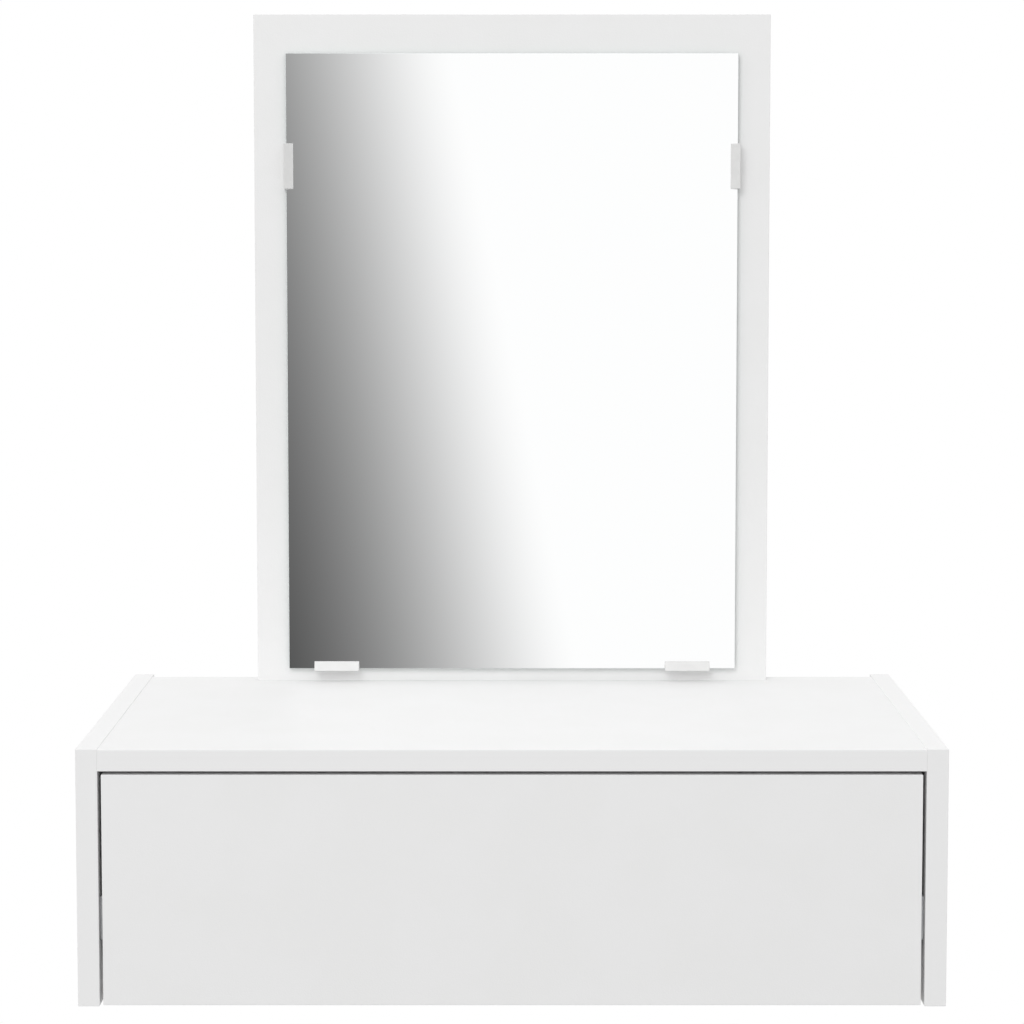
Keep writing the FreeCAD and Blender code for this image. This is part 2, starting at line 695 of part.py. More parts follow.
def left_ball_cage():
    """Strip bent to a channel, with a pocket for each ball in its two flanges."""
    span = (SLIDE_MID - CAGE_LENGTH / 2, SLIDE_MID + CAGE_LENGTH / 2)
    flange = (CAGE_FLANGE - CAGE_SHEET / 2 - CAGE_BEND, 0)
    bend = (CAGE_BEND, -90)
    steps = [flange, bend, (2 * (BALL_W - CAGE_BEND), 0), bend, flange]
    channel = bent_strip((CAGE_U + CAGE_FLANGE, -BALL_W), 180, steps, span, CAGE_SHEET)
    return channel.cut([Part.makeSphere(BALL_RADIUS + POCKET_PLAY, centre) for centre in ball_centres()])


def left_balls():
    return Part.makeCompound([Part.makeSphere(BALL_RADIUS, centre) for centre in ball_centres()])


def export(name, shapes):
    shape = shapes[0] if len(shapes) == 1 else Part.makeCompound(shapes)
    shape.exportStep("parts/" + name + ".step")


def export_pair(name, left_shape):
    export(name + "_left", [left_shape])
    export(name + "_right", [mirrored(left_shape)])


def build():
    os.makedirs("parts", exist_ok=True)
    top = top_joint()
    back = back_joint()
    mirror = mirror_joint()
    drawer = drawer_joint()

    export_pair("side_panel", left_side_panel([top, back]))
    export("top_panel", [top_panel([top, mirror])])
    export("back_panel", [back_panel(back)])
    export("carcass_dowels", top.dowels() + back.dowels())
    export("carcass_cam_bolts", top.bolts() + back.bolts())
    export("carcass_cam_discs", top.discs() + back.discs())

    export("mirror_board", [mirror_board(mirror)])
    export("mirror_board_dowels", mirror.dowels())
    export("mirror_board_cam_bolts", mirror.bolts())
    export("mirror_board_cam_discs", mirror.discs())
    export_pair("brace_plate", brace_plate())
    export("brace_plate_screws", placed(pan_screw(PLATE_THICK + BOARD_BITE), plate_screw_places()))
    export("mirror_glass", [mirror_glass()])
    for name, frame in clip_frames().items():
        clip = mirror_clip()
        clip.Placement = frame
        export(name, [clip])
    export("mirror_clip_screws", placed(sunk_screw(CLIP_FLANGE + BOARD_BITE), clip_screw_places()))

    export("drawer_front", [drawer_front(drawer)])
    export_pair("drawer_side", left_drawer_side(drawer))
    export("drawer_back", [drawer_back()])
    export("drawer_bottom", [drawer_bottom()])
    export("drawer_dowels", drawer.dowels())
    export("drawer_cam_bolts", drawer.bolts())
    export("drawer_cam_discs", drawer.discs())
    export("drawer_back_screws", placed(sunk_screw(BACK_SCREW_LENGTH), back_screw_places()))

    export_pair("slide_outer", left_slide_outer())
    export("slide_outer_screws", placed(sunk_screw(SLIDE_SHEET + BOARD_BITE), outer_screw_places()))
    export_pair("slide_inner", left_slide_inner())
    export("slide_inner_screws", placed(pan_screw(SLIDE_SHEET + DRAWER_BITE), inner_screw_places()))
    export_pair("ball_cage", left_ball_cage())
    export_pair("slide_balls", left_balls())


build()
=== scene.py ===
import json
import math

import bmesh
import bpy
from bpy.props import FloatProperty, FloatVectorProperty, IntProperty, PointerProperty
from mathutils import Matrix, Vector

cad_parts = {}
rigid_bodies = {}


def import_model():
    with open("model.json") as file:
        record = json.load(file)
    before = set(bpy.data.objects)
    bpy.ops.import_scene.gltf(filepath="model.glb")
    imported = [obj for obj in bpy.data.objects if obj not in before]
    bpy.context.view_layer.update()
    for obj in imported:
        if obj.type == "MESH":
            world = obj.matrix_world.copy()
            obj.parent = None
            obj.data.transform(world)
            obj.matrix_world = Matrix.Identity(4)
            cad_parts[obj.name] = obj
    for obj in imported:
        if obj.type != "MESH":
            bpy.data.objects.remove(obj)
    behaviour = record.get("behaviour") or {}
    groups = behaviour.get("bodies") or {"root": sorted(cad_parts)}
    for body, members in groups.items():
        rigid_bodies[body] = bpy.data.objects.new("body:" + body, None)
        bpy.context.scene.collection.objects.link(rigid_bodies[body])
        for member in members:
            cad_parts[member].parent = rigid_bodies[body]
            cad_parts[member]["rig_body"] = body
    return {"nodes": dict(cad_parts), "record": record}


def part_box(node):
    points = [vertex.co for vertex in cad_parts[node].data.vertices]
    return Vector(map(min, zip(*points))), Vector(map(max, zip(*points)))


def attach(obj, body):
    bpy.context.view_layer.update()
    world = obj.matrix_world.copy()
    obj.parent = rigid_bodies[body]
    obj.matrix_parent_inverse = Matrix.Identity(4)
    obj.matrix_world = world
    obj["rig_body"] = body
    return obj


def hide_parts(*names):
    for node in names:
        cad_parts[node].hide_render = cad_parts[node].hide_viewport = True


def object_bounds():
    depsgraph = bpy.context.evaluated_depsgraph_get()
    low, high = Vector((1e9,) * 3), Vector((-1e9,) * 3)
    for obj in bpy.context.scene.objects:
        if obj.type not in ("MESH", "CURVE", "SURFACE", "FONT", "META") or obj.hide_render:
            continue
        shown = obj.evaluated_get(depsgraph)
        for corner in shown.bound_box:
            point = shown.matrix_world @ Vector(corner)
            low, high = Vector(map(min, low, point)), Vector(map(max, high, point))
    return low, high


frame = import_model()
CAD_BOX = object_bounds()
LOW, HIGH = CAD_BOX

bl_info = {
    "name": "Wall-hung dressing table",
    "version": (1, 0, 0),
    "blender": (4, 5, 0),
    "location": "3D View > Sidebar > Dressing table",
    "description": "Finishes, screws and studio for a dressing table with a drawer and a clipped mirror",
    "category": "Object",
}

# Boards of the frame, by the axis that runs through their thickness
BOARDS = {
    "X": ("side_panel_left", "side_panel_right", "drawer_side_left", "drawer_side_right"),
    "Y": ("mirror_board", "drawer_front", "drawer_back"),
    "Z": ("top_panel",),
}
CLIPS = (
    "mirror_clip_bottom_left",
    "mirror_clip_bottom_right",
    "mirror_clip_side_left",
    "mirror_clip_side_right",
)
MEMBERS = ("slide_outer_left", "slide_outer_right", "slide_inner_left", "slide_inner_right")
CAGES = ("ball_cage_left", "ball_cage_right")
BALLS = ("slide_balls_left", "slide_balls_right")
BOLTS = ("carcass_cam_bolts", "mirror_board_cam_bolts", "drawer_cam_bolts")
CAMS = ("carcass_cam_discs", "mirror_board_cam_discs", "drawer_cam_discs")
PLATES = ("brace_plate_left", "brace_plate_right")
PAN_SCREWS = ("brace_plate_screws", "slide_inner_screws")
SUNK_SCREWS = ("mirror_clip_screws", "slide_outer_screws", "drawer_back_screws")

# Dowels, by the axis that they lie along
DOWELS = {"X": "carcass_dowels", "Y": "drawer_dowels", "Z": "mirror_board_dowels"}

AXES = "XYZ"
MILLIMETRE = 0.001
WHITE = (1.0, 1.0, 1.0, 1.0)


def colour(name, description, default):
    return FloatVectorProperty(
        name=name, description=description, default=default, subtype="COLOR", size=3, min=0.0, max=1.0
    )


def length(name, description, default):
    return FloatProperty(
        name=name, description=description, default=default, subtype="DISTANCE", unit="LENGTH"
    )


def share(name, description, default):
    return FloatProperty(
        name=name, description=description, default=default, subtype="FACTOR", min=0.0, max=1.0
    )


def angle(name, description, degrees):
    return FloatProperty(
        name=name, description=description, default=math.radians(degrees), subtype="ANGLE"
    )


def amount(name, description, default, unit="NONE"):
    return FloatProperty(name=name, description=description, default=default, min=0.0, unit=unit)


class BoardFinish(bpy.types.PropertyGroup):
    """White faced chipboard and the hardboard of the drawer bottom."""

    face: colour("Face", "Melamine face of the boards", (0.83, 0.83, 0.83))
    cloud: colour("Cloud", "Slightly darker clouds in the face", (0.822, 0.822, 0.82))
    band: colour("Edge band", "Plastic band glued to the edges", (0.83, 0.83, 0.83))
    core: colour("Core", "Chips seen in a bare hole", (0.46, 0.33, 0.21))
    core_dark: colour("Dark chips", "Darker chips in the core and in the hardboard", (0.24, 0.16, 0.1))
    hardboard: colour("Hardboard", "Bare underside of the drawer bottom", (0.33, 0.2, 0.11))
    roughness: share("Roughness", "Roughness of the melamine and of the drawer bottom's lacquer", 0.5)
    pearl_roughness: share("Pearl roughness", "How much the roughness varies with the pearls", 0.12)
    band_gloss: share("Band gloss", "How much smoother the edge band is", 0.06)
    core_roughness: share("Core roughness", "How much rougher a bare hole is", 0.4)
    hardboard_roughness: share("Hardboard roughness", "Roughness of the bare underside", 0.75)
    cloud_size: length("Cloud size", "Size of the clouds", 0.045)
    pearl_size: length("Pearl size", "Size of the pearls in the pressed face", 0.0012)
    pearl_height: length("Pearl height", "Height of the pearls in the pressed face", 0.00006)
    chip_size: length("Chip size", "Size of the chips in the core and in the hardboard", 0.0016)
    screen_pitch: length("Screen pitch", "Pitch of the screen pressed into the underside", 0.0018)
    screen_height: length("Screen height", "Height of the screen pressed into the underside", 0.00012)
    fibre_height: share("Fibre height", "Height of the hardboard's fibres against the screen's", 0.3)


class MirrorFinish(bpy.types.PropertyGroup):
    """Silvered glass with a ground edge and a painted rear."""

    silver: colour("Silver", "Tint of the reflection", (0.985, 0.99, 0.99))
    lean: angle("Lean", "How far the silver leans back", 4.5)
    edge: colour("Glass edge", "Ground edge of the glass", (0.64, 0.75, 0.71))
    arris: colour("Arris", "Fine bevel round the glass", (0.76, 0.8, 0.79))
    backing: colour("Backing", "Paint over the silver on the rear", (0.27, 0.29, 0.31))
    edge_roughness: share("Edge roughness", "Roughness of the ground edge", 0.18)
    backing_roughness: share("Backing roughness", "How much rougher the painted rear is", 0.4)
    speck_size: length("Speck size", "Size of the specks in the edge and the paint", 0.0009)
    speck_height: length("Speck height", "Height of the specks", 0.00003)
    speck_roughness: share("Speck roughness", "How much rougher the specks are", 0.1)


class ClipFinish(bpy.types.PropertyGroup):
    """White moulded plastic of the mirror clips."""

    plastic: colour("Plastic", "Plastic of the clips", (0.715, 0.715, 0.71))
    flow_shade: share("Flow shade", "Lightness of the flow marks against the plastic", 0.97)
    flow_size: length("Flow size", "Size of the flow marks", 0.008)
    roughness: share("Roughness", "Roughness of the plastic", 0.32)
    grain_roughness: share("Grain roughness", "How much the grain roughens the plastic", 0.08)
    grain_size: length("Grain size", "Size of the mould's grain", 0.0007)
    grain_height: length("Grain height", "Height of the mould's grain", 0.00002)


class PlatingFinish(bpy.types.PropertyGroup):
    """Zinc-plated steel of the slides, cages, bolts, plates and screws."""

    zinc: colour("Zinc", "Zinc-plated steel", (0.62, 0.63, 0.64))
    zinc_dark: colour("Zinc shade", "Dull places in the plating", (0.5, 0.51, 0.53))
    cage_tint: amount("Cage tint", "Lightness of the cages against the slides", 0.85)
    screw_tint: amount("Screw tint", "Lightness of the screws against the slides", 1.1)
    patches: share("Patches", "Share of the patches in the shade; the lines have the rest", 0.15)
    brace_patches: share("Brace patches", "The same share on the brace plates", 0.6)
    roughness: share("Roughness", "Roughness of the plating", 0.34)
    line_roughness: share("Line roughness", "How much the roughness varies with the lines", 0.2)
    patch_roughness: share("Patch roughness", "How much rougher the patches are", 0.1)
    line_width: length("Line width", "Width of the rolling lines in the sheet", 0.0006)
    line_length: length("Line length", "Length of the rolling lines in the sheet", 0.03)
    line_height: length("Line height", "Height of the rolling lines in the sheet", 0.00002)
    spangle: length("Spangle", "Size of the plating's patches", 0.006)


class CamFinish(bpy.types.PropertyGroup):
    """Die-cast zinc of the cams."""

    zinc: colour("Zinc", "Die-cast zinc", (0.5, 0.5, 0.51))
    grain_shade: share("Grain shade", "Lightness of the dull grains against the zinc", 0.75)
    grain_size: length("Grain size", "Size of the grains", 0.0008)
    grain_height: length("Grain height", "Height of the grains", 0.00005)
    roughness: share("Roughness", "Roughness of the zinc", 0.42)
    grain_roughness: share("Grain roughness", "How much rougher the grains are", 0.2)


class BallFinish(bpy.types.PropertyGroup):
    """Polished balls of the slides, under a film of grease."""

    steel: colour("Steel", "Polished steel", (0.74, 0.75, 0.76))
    film_shade: share("Film shade", "Lightness of the film against the steel", 0.85)
    film_size: length("Film size", "Size of the patches of film", 0.0025)
    roughness: share("Roughness", "Roughness of the steel", 0.06)
    film_roughness: share("Film roughness", "How much rougher the film is", 0.08)


class DowelFinish(bpy.types.PropertyGroup):
    """Turned beech of the dowels."""

    early: colour("Early wood", "Light wood between the grain", (0.68, 0.5, 0.32))
    late: colour("Late wood", "Dark wood of the grain and its flecks", (0.5, 0.33, 0.19))
    fleck_share: share("Flecks", "How dark the flecks are", 0.5)
    grain_width: length("Grain width", "Width of the grain", 0.0012)
    grain_height: length("Grain height", "Height of the grain", 0.00006)
    fleck_width: length("Fleck width", "Width of the flecks", 0.0005)
    slenderness: share("Slenderness", "Width of the grain and flecks against their length", 0.08)
    roughness: share("Roughness", "Roughness of the early wood", 0.6)
    grain_roughness: share("Grain roughness", "How much rougher the grain is", 0.15)


class ScrewSizes(bpy.types.PropertyGroup):
    """Cross-head screws; the radius of the head and the length follow the frame."""

    shank: share("Shank", "Radius of the shank against the head's", 0.51)
    crown: length("Crown radius", "Flat crown of a pan head", 0.002)
    rim: length("Rim", "Straight rim of a pan head", 0.0008)
    head: length("Head height", "Height of either head", 0.002)
    cross_length: length("Cross length", "Length of the driver cross", 0.0036)
    cross_width: length("Cross width", "Width of the driver cross", 0.0009)
    cross_depth: length("Cross depth", "Depth of the driver cross", 0.0012)
    thread_depth: length("Thread depth", "Depth of the thread", 0.0005)
    thread_pitch: length("Thread pitch", "Pitch of the thread", 0.0016)
    sides: IntProperty(name="Sides", description="Sides of a round head", default=32, min=8)


class Studio(bpy.types.PropertyGroup):
    """Camera, lamp, floor, and the glowing card and flags that paint what the mirror reflects."""

    camera_reach: length("Camera reach", "Camera in front of the drawer front", 1.8368)
    camera_height: length("Camera height", "Camera above the lower ends of the side panels", 0.5511)
    camera_pitch: angle("Camera pitch", "How far the camera looks down", 4.386)
    camera_shift: FloatProperty(
        name="Camera shift", description="Vertical shift of the lens", default=-0.095
    )
    lens: amount("Lens", "Focal length in millimetres", 95.28, "CAMERA")
    sensor: amount("Sensor", "Width of the sensor in millimetres", 36.0, "CAMERA")
    floor_drop: length("Floor drop", "Floor below the table, which hangs on a wall", 0.6)
    floor_side: length("Floor side", "Side of the square floor", 40.0)
    floor_colour: colour("Floor colour", "Matt floor under its white glow", (0.5, 0.5, 0.5))
    floor_glow: share("Floor glow", "Share of white in the floor near the table, where it is seen", 0.6)
    floor_near: length("Floor, near", "Radius inside which the floor shows the shadow in full", 0.8)
    floor_far: length("Floor, far", "Radius outside which the floor is white", 1.8)
    ambient: amount("Ambient", "Even light of the surroundings", 0.94)
    key_power: amount("Key power", "Lamp from the upper left", 70.0, "POWER")
    key_way: FloatVectorProperty(
        name="Key way",
        description="Way from the middle of the table to the lamp",
        default=(-0.29, -0.74, 0.61),
        subtype="DIRECTION",
    )
    key_reach: length("Key reach", "Lamp's distance from the middle of the table", 5.0)
    key_side: length("Key side", "Side of the square lamp", 2.2)
    # The card and flags below glow and are seen only in mirrors and metal: their grey is a painted
    # reflection.
    card_reach: length("Card reach", "Grey card in front of the mirror", 2.72)
    card_margin: length("Card margin", "Room round the part of the card that fills the mirror", 0.06)
    fade_top: length("Fade, top", "End of the grey on the mirror's upper edge, from its middle", -0.0462)
    fade_foot: length("Fade, foot", "End of the grey on the mirror's lower edge, from its middle", 0.0528)
    fade_width: length("Fade width", "Width of the fade on the mirror", 0.129)
    fade_power: amount("Fade power", "Shape of the fade", 1.517)
    flag_reach: length("Flag reach", "Grey flags to the left and right of the mirror's middle", 1.6)
    flag_height: length("Flag height", "Height of the flags above the floor", 1.4)
    flag_grey: colour("Flag grey", "Rear part of the flags", (0.46, 0.46, 0.46))
    flag_rear: length("Flag, rear", "Where the flags start, behind the mirror", 0.5)
    flag_near: length("Flag, near", "Where the flags start to turn white, in front of the mirror", 1.3)
    flag_far: length("Flag, far", "Where the flags are white, in front of the mirror", 2.0)


class DressingTable(bpy.types.PropertyGroup):
    """All that a user would change."""

    board: PointerProperty(type=BoardFinish)
    mirror: PointerProperty(type=MirrorFinish)
    clip: PointerProperty(type=ClipFinish)
    plating: PointerProperty(type=PlatingFinish)
    cam: PointerProperty(type=CamFinish)
    ball: PointerProperty(type=BallFinish)
    dowel: PointerProperty(type=DowelFinish)
    screw: PointerProperty(type=ScrewSizes)
    studio: PointerProperty(type=Studio)


class Wire:
    """An output of a node. Arithmetic on wires and numbers adds Math nodes to their tree."""

    def __init__(self, graph, socket):
        self.graph = graph
        self.socket = socket

    def __add__(self, other):
        return self.graph.math("ADD", self, other)

    def __radd__(self, other):
        return self.graph.math("ADD", other, self)

    def __sub__(self, other):
        return self.graph.math("SUBTRACT", self, other)

    def __rsub__(self, other):
        return self.graph.math("SUBTRACT", other, self)

    def __mul__(self, other):
        return self.graph.math("MULTIPLY", self, other)

    def __rmul__(self, other):
        return self.graph.math("MULTIPLY", other, self)

    def __truediv__(self, other):
        return self.graph.math("DIVIDE", self, other)

    def __rtruediv__(self, other):
        return self.graph.math("DIVIDE", other, self)

    def __pow__(self, other):
        return self.graph.math("POWER", self, other)

    def __rpow__(self, other):
        return self.graph.math("POWER", other, self)

    def __neg__(self):
        return self.graph.math("MULTIPLY", self, -1.0)

    def __abs__(self):
        return self.graph.math("ABSOLUTE", self)


# Detail of a noise, and the value that it varies about
SOFT = 2.0
FINE = 3.0
ROUGH = 4.0
NOISE_MIDDLE = 0.5

# Sockets of a Mix node that mixes colours
MIX_FACTOR = 0
MIX_FIRST = 6
MIX_SECOND = 7
MIX_RESULT = 2


class Graph:
    """A node tree and short ways to add to it."""

    def __init__(self, tree):
        self.tree = tree
        tree.nodes.clear()

    def node(self, kind, settings=None, sockets=None, output=0):
        """Add a node: its settings first, then the values or wires of its sockets."""
        made = self.tree.nodes.new(kind)
        for name, value in (settings or {}).items():
            setattr(made, name, value)
        for key, value in (sockets or {}).items():
            for one in value if isinstance(value, list) else [value]:
                if isinstance(one, Wire):
                    self.tree.links.new(one.socket, made.inputs[key])
                else:
                    made.inputs[key].default_value = one
        return Wire(self, made.outputs[output]) if made.outputs else None

    def math(self, operation, *values):
        return self.node("ShaderNodeMath", {"operation": operation}, dict(enumerate(values)))

    def most(self, first, second):
        return self.math("MAXIMUM", first, second)

    def place(self):
        return self.node("ShaderNodeTexCoord", output="Object")

    def facing(self, axis):
        """How far the surface faces along +X, +Y or +Z."""
        return self.part(self.node("ShaderNodeTexCoord", output="Normal"), axis)

    def part(self, vector, axis):
        return self.node("ShaderNodeSeparateXYZ", None, {0: vector}, axis)

    def scaled(self, vector, scale):
        return self.node("ShaderNodeVectorMath", {"operation": "MULTIPLY"}, {0: vector, 1: scale})

    def noise(self, vector, size, detail=SOFT):
        sockets = {"Vector": vector, "Scale": 1.0 / size, "Detail": detail}
        return self.node("ShaderNodeTexNoise", None, sockets)

    def cells(self, vector, size):
        return self.node("ShaderNodeTexVoronoi", None, {"Vector": vector, "Scale": 1.0 / size}, "Color")

    def ease(self, value, low, high):
        """0 below low, 1 above high, smooth between; low may be the larger."""
        ends = {"Value": value, "From Min": low, "From Max": high}
        return self.node("ShaderNodeMapRange", {"interpolation_type": "SMOOTHSTEP"}, ends)

    def mix(self, factor, first, second):
        """Colour between first at 0 and second at 1."""
        sockets = {MIX_FACTOR: factor, MIX_FIRST: first, MIX_SECOND: second}
        return self.node("ShaderNodeMix", {"data_type": "RGBA"}, sockets, MIX_RESULT)

    def bump(self, height, distance=1.0):
        """Normal of a bumpy surface, whose height of 1 is distance in metres."""
        sockets = {"Height": height, "Distance": distance, "Strength": 1.0}
        return self.node("ShaderNodeBump", None, sockets)

    def output(self, shader, kind="ShaderNodeOutputMaterial"):
        self.node(kind, None, {"Surface": shader})

    def principled(self, **sockets):
        """Finish the material; a socket's name has underscores for its spaces."""
        named = {name.replace("_", " "): value for name, value in sockets.items()}
        self.output(self.node("ShaderNodeBsdfPrincipled", None, named))


def opaque(paint):
    return (*paint, 1.0)


def shaded(paint, factor):
    return opaque(part * factor for part in paint)


def new_material(name):
    made = bpy.data.materials.new(name)
    made.use_nodes = True
    return made, Graph(made.node_tree)


def dress(material, *nodes):
    """Give CAD nodes a finish."""
    for name in nodes:
        slots = frame["nodes"][name].data.materials
        slots.clear()
        slots.append(material)


# How squarely a surface faces along an axis: where a finish starts to show, and where it is full
BAND_TURN = (0.95, 0.75)
HOLE_TURN = (0.7, 0.3)
LACQUER_TURN = (0.3, 0.7)
SILVER_TURN = (-0.85, -0.95)
BACKING_TURN = (0.85, 0.95)
ARRIS_TURN = (-0.4, -0.6)

# Values of a noise: where a colour starts to show, and where it is full
CLOUD_RANGE = (0.35, 0.65)
FIBRE_RANGE = (0.3, 0.7)
FLOW_RANGE = (0.35, 0.65)
CAST_RANGE = (0.35, 0.7)
FILM_RANGE = (0.4, 0.7)
GRAIN_RANGE = (0.3, 0.7)
FLECK_RANGE = (0.55, 0.75)

# Distances from the middle of a hole, in its radii: where bare core starts to show, and where it is full
HOLE_REACH = (1.06, 1.01)

# Scale that stretches the hardboard's fibres from front to back
FIBRE_SCALE = (1.0, 0.2, 1.0)


def chips(graph, look):
    """Colour of pressed chips, seen where the board is cut."""
    shade = graph.part(graph.cells(graph.place(), look.chip_size), "X")
    return graph.mix(shade, opaque(look.core), opaque(look.core_dark))


def faced_board(name, look, axis, bare=None):
    """White melamine faces and banded edges.

    axis runs through the board's thickness, and bare makes a mask that is 1 where the core shows.
    """
    material, graph = new_material(name)
    place = graph.place()
    band = graph.ease(abs(graph.facing(axis)), *BAND_TURN)
    cloud = graph.ease(graph.noise(place, look.cloud_size), *CLOUD_RANGE)
    pearl = graph.noise(place, look.pearl_size, FINE)
    paint = graph.mix(cloud, opaque(look.face), opaque(look.cloud))
    paint = graph.mix(band, paint, opaque(look.band))
    rough = look.roughness + (pearl - NOISE_MIDDLE) * look.pearl_roughness - band * look.band_gloss
    if bare is not None:
        mask = bare(graph, place)
        paint = graph.mix(mask, paint, chips(graph, look))
        rough = rough + mask * look.core_roughness
    bump = graph.bump(pearl * (1.0 - band), look.pearl_height)
    graph.principled(Base_Color=paint, Roughness=rough, Normal=bump)
    return material


def wall_hole_mask(graph, place):
    """1 on the walls of the holes for the wall screws."""
    screws = next(mount for mount in frame["record"]["mounts"] if mount["name"] == "wall_screws")
    middle = Vector(screws["pos_m"])
    dims = screws["dims"]
    half_width = dims["spacing_x_mm"] * MILLIMETRE / 2
    half_height = dims["spacing_y_mm"] * MILLIMETRE / 2
    across = abs(abs(graph.part(place, "X") - middle.x) - half_width)
    rise = abs(abs(graph.part(place, "Z") - middle.z) - half_height)
    reach = (across * across + rise * rise) ** 0.5
    outer, inner = (dims["hole_r_mm"] * MILLIMETRE * radii for radii in HOLE_REACH)
    return graph.ease(reach, outer, inner) * graph.ease(abs(graph.facing("Y")), *HOLE_TURN)


def hardboard(look):
    """Drawer bottom: lacquered white above, bare and pressed on a screen below."""
    material, graph = new_material("drawer_bottom_hardboard")
    place = graph.place()
    above = graph.ease(graph.facing("Z"), *LACQUER_TURN)
    fibre = graph.noise(graph.scaled(place, FIBRE_SCALE), look.chip_size, ROUGH)
    brown = graph.mix(graph.ease(fibre, *FIBRE_RANGE), opaque(look.hardboard), opaque(look.core_dark))
    turn = 2 * math.pi / look.screen_pitch
    across = graph.math("SINE", graph.part(place, "X") * turn)
    along = graph.math("SINE", graph.part(place, "Y") * turn)
    height = across * along * (1.0 - above) + fibre * look.fibre_height
    graph.principled(
        Base_Color=graph.mix(above, brown, opaque(look.face)),
        Roughness=look.hardboard_roughness - above * (look.hardboard_roughness - look.roughness),
        Normal=graph.bump(height, look.screen_height),
    )
    return material


def silvered_glass(look):
    """Mirror: silver seen from the front, ground edges and painted rear.

    The silver leans back, so that it shows the room in front of the table and not the table top.
    """
    material, graph = new_material("silvered_glass")
    place = graph.place()
    depth = graph.facing("Y")
    front = graph.ease(depth, *SILVER_TURN)
    rear = graph.ease(depth, *BACKING_TURN)
    bevel = graph.ease(depth, *ARRIS_TURN)
    speck = graph.noise(place, look.speck_size, FINE) * (1.0 - front)
    fall = graph.part(place, "Z") * -math.tan(look.lean) * front
    paint = graph.mix(bevel, opaque(look.edge), opaque(look.arris))
    paint = graph.mix(rear, paint, opaque(look.backing))
    rough = (1.0 - front) * (look.edge_roughness + rear * look.backing_roughness)
    graph.principled(
        Base_Color=graph.mix(front, paint, opaque(look.silver)),
        Metallic=front,
        Roughness=rough + speck * look.speck_roughness,
        Normal=graph.bump(fall + speck * look.speck_height),
    )
    return material


def clip_plastic(look):
    """Moulded plastic with a fine grain and faint flow marks."""
    material, graph = new_material("clip_plastic")
    place = graph.place()
    grain = graph.noise(place, look.grain_size, FINE)
    flow = graph.ease(graph.noise(place, look.flow_size), *FLOW_RANGE)
    graph.principled(
        Base_Color=graph.mix(flow, opaque(look.plastic), shaded(look.plastic, look.flow_shade)),
        Roughness=look.roughness + grain * look.grain_roughness,
        Normal=graph.bump(grain, look.grain_height),
    )
    return material


def plated_sheet(name, look, patches, tint=1.0):
    """Zinc-plated steel with patches and with rolling lines that run front to back.

    patches is the share of the patches in its shade, and tint lightens or darkens it.
    """
    material, graph = new_material(name)
    place = graph.place()
    stretched = graph.scaled(place, (1.0, look.line_width / look.line_length, 1.0))
    lines = graph.noise(stretched, look.line_width, FINE)
    patch = graph.part(graph.cells(place, look.spangle), "X")
    shade = patch * patches + lines * (1.0 - patches)
    rough = look.roughness + (lines - NOISE_MIDDLE) * look.line_roughness
    graph.principled(
        Base_Color=graph.mix(shade, shaded(look.zinc, tint), shaded(look.zinc_dark, tint)),
        Metallic=1.0,
        Roughness=rough + patch * (patches * look.patch_roughness),
        Normal=graph.bump(lines, look.line_height),
    )
    return material


def cast_zinc(look):
    """Die-cast zinc with fine, dull grains."""
    material, graph = new_material("cast_zinc")
    grain = graph.noise(graph.place(), look.grain_size, ROUGH)
    dull = graph.ease(grain, *CAST_RANGE)
    graph.principled(
        Base_Color=graph.mix(dull, opaque(look.zinc), shaded(look.zinc, look.grain_shade)),
        Metallic=1.0,
        Roughness=look.roughness + grain * look.grain_roughness,
        Normal=graph.bump(grain, look.grain_height),
    )
    return material


def polished_ball(look):
    """Polished steel with a thin film on it."""
    material, graph = new_material("polished_ball")
    film = graph.noise(graph.place(), look.film_size)
    dull = graph.ease(film, *FILM_RANGE)
    graph.principled(
        Base_Color=graph.mix(dull, opaque(look.steel), shaded(look.steel, look.film_shade)),
        Metallic=1.0,
        Roughness=look.roughness + film * look.film_roughness,
    )
    return material


def beech(look, axis):
    """Turned beech with its grain along the dowel."""
    material, graph = new_material("beech_along_" + axis.lower())
    stretch = tuple(look.slenderness if letter == axis else 1.0 for letter in AXES)
    place = graph.scaled(graph.place(), stretch)
    grain = graph.noise(place, look.grain_width, FINE)
    fleck = graph.ease(graph.noise(place, look.fleck_width), *FLECK_RANGE)
    paint = graph.mix(graph.ease(grain, *GRAIN_RANGE), opaque(look.early), opaque(look.late))
    graph.principled(
        Base_Color=graph.mix(fleck * look.fleck_share, paint, opaque(look.late)),
        Roughness=look.roughness + grain * look.grain_roughness,
        Normal=graph.bump(grain, look.grain_height),
    )
    return material


# Two points of the CAD meshes that are closer than this are one corner
SAME_POINT = 1e-6

# Corners of a CAD screw past this share of its largest radius are on the rim of its head
RIM_SHARE = 0.98

# Points in a turn of a thread, and corners of its section
TURN_POINTS = 14
THREAD_CORNERS = 3

# The core is thinner than the shank by this share of the thread's depth
CORE_DROP = 0.6

# Faces that meet at a larger angle than this keep a sharp edge between them
SHARP_ANGLE = math.radians(35)

# Sizes that the screw trees take
SCREW_INPUTS = (
    "Head radius",
    "Shank radius",
    "Length",
    "Crown radius",
    "Rim",
    "Head height",
    "Cross length",
    "Cross width",
    "Cross depth",
    "Thread depth",
    "Thread pitch",
)


def loose_solids(node):
    """Corners of each separate solid in a CAD node."""
    copy = bmesh.new()
    copy.from_mesh(frame["nodes"][node].data)
    bmesh.ops.remove_doubles(copy, verts=copy.verts, dist=SAME_POINT)
    solids = []
    for start in copy.verts:
        if start.tag:
            continue
        start.tag = True
        reached = [start]
        corners = []
        while reached:
            corner = reached.pop()
            corners.append(corner.co.copy())
            for edge in corner.link_edges:
                other = edge.other_vert(corner)
                if not other.tag:
                    other.tag = True
                    reached.append(other)
        solids.append(corners)
    copy.free()
    return solids


